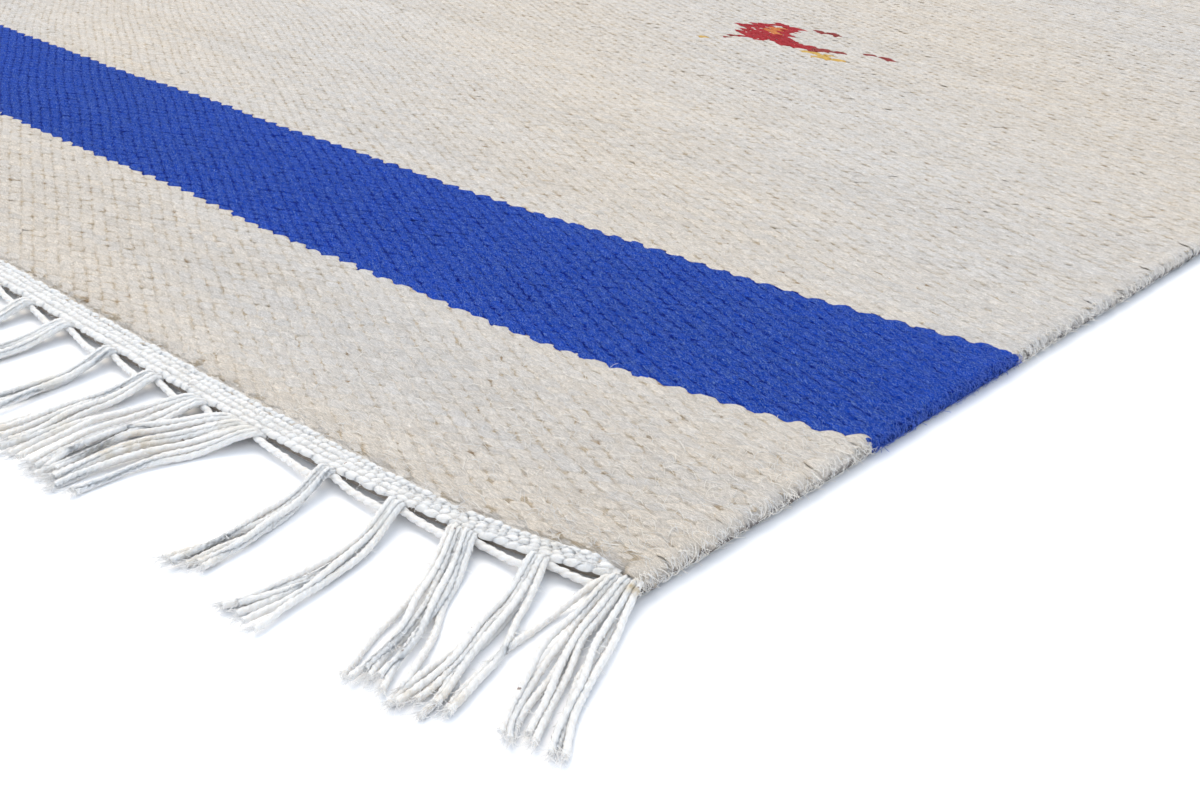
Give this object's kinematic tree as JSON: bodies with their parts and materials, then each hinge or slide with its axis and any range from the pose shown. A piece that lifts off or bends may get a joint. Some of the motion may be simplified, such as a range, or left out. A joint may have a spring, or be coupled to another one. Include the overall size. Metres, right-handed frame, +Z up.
{
  "type": "kilim rug",
  "caption": "Flat-woven wool kilim lying flat, with a broad blue stripe, cotton end bands and a knotted cotton fringe at each end.",
  "frame": {"origin": "on the floor under the middle of the rug", "axes": "+Z up from the floor, +Y along the warps from the near fringe to the far one, +X along the wefts towards the near selvedge"},
  "size_m": [0.621, 0.9915, 0.005],
  "materials": {
    "wool": "matt hand-spun wool in natural greige, weft-faced plain weave, with a cobalt blue stripe near each end",
    "cotton": "matt two-ply off-white cotton, twined, knotted and left as fringe"
  },
  "bodies": {
    "root": {"woven_panel": "wool", "end_band_near": "cotton", "end_band_far": "cotton", "fringe_near": "cotton", "fringe_far": "cotton"}
  },
  "joints": []
}
